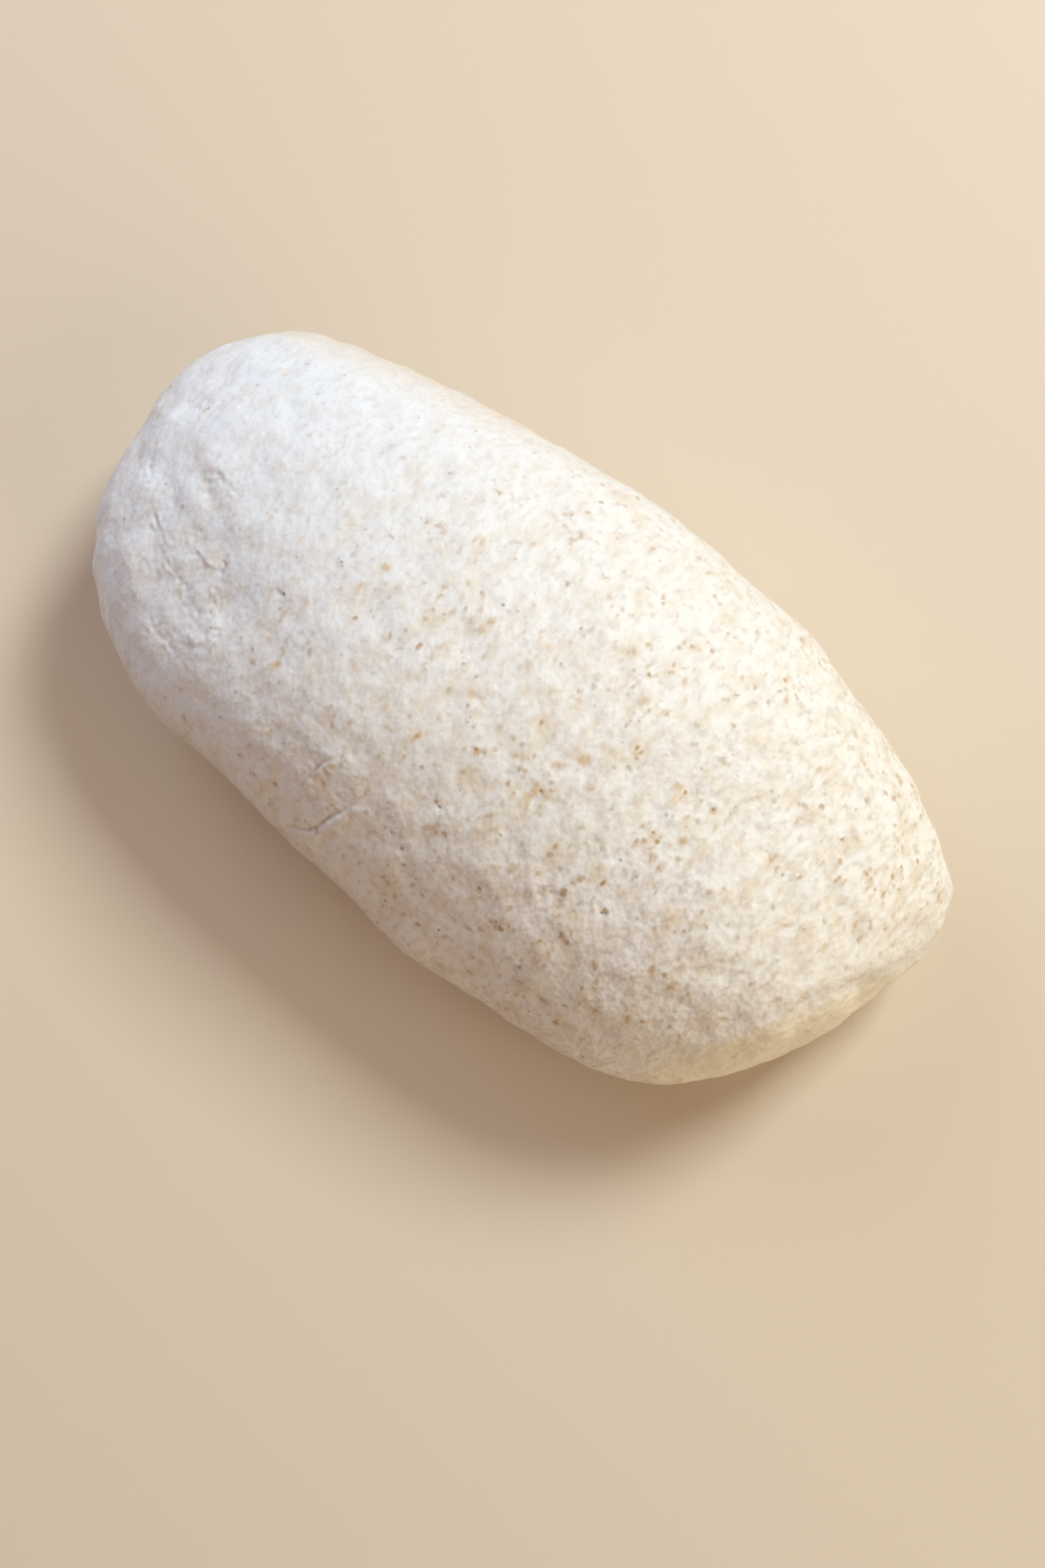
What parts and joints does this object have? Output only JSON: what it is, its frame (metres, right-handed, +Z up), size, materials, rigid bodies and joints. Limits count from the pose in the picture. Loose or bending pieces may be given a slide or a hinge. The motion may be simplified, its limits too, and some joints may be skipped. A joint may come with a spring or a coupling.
{
  "type": "unbaked bread loaf",
  "caption": "Unbaked wholewheat bread loaf: a smooth rounded log of dough with slanted ends, pinched shut at its left and tucked under at its right, flat underneath.",
  "frame": {"origin": "on the resting plane, below the middle of the loaf's box", "axes": "+X along the loaf towards its tucked end, +Y towards its back, +Z up"},
  "size_m": [0.2, 0.107, 0.063],
  "materials": {
    "dough": "matte raw wholewheat dough, pale cream with fine bran flecks"
  },
  "bodies": {
    "root": {"loaf": "dough"}
  },
  "joints": []
}
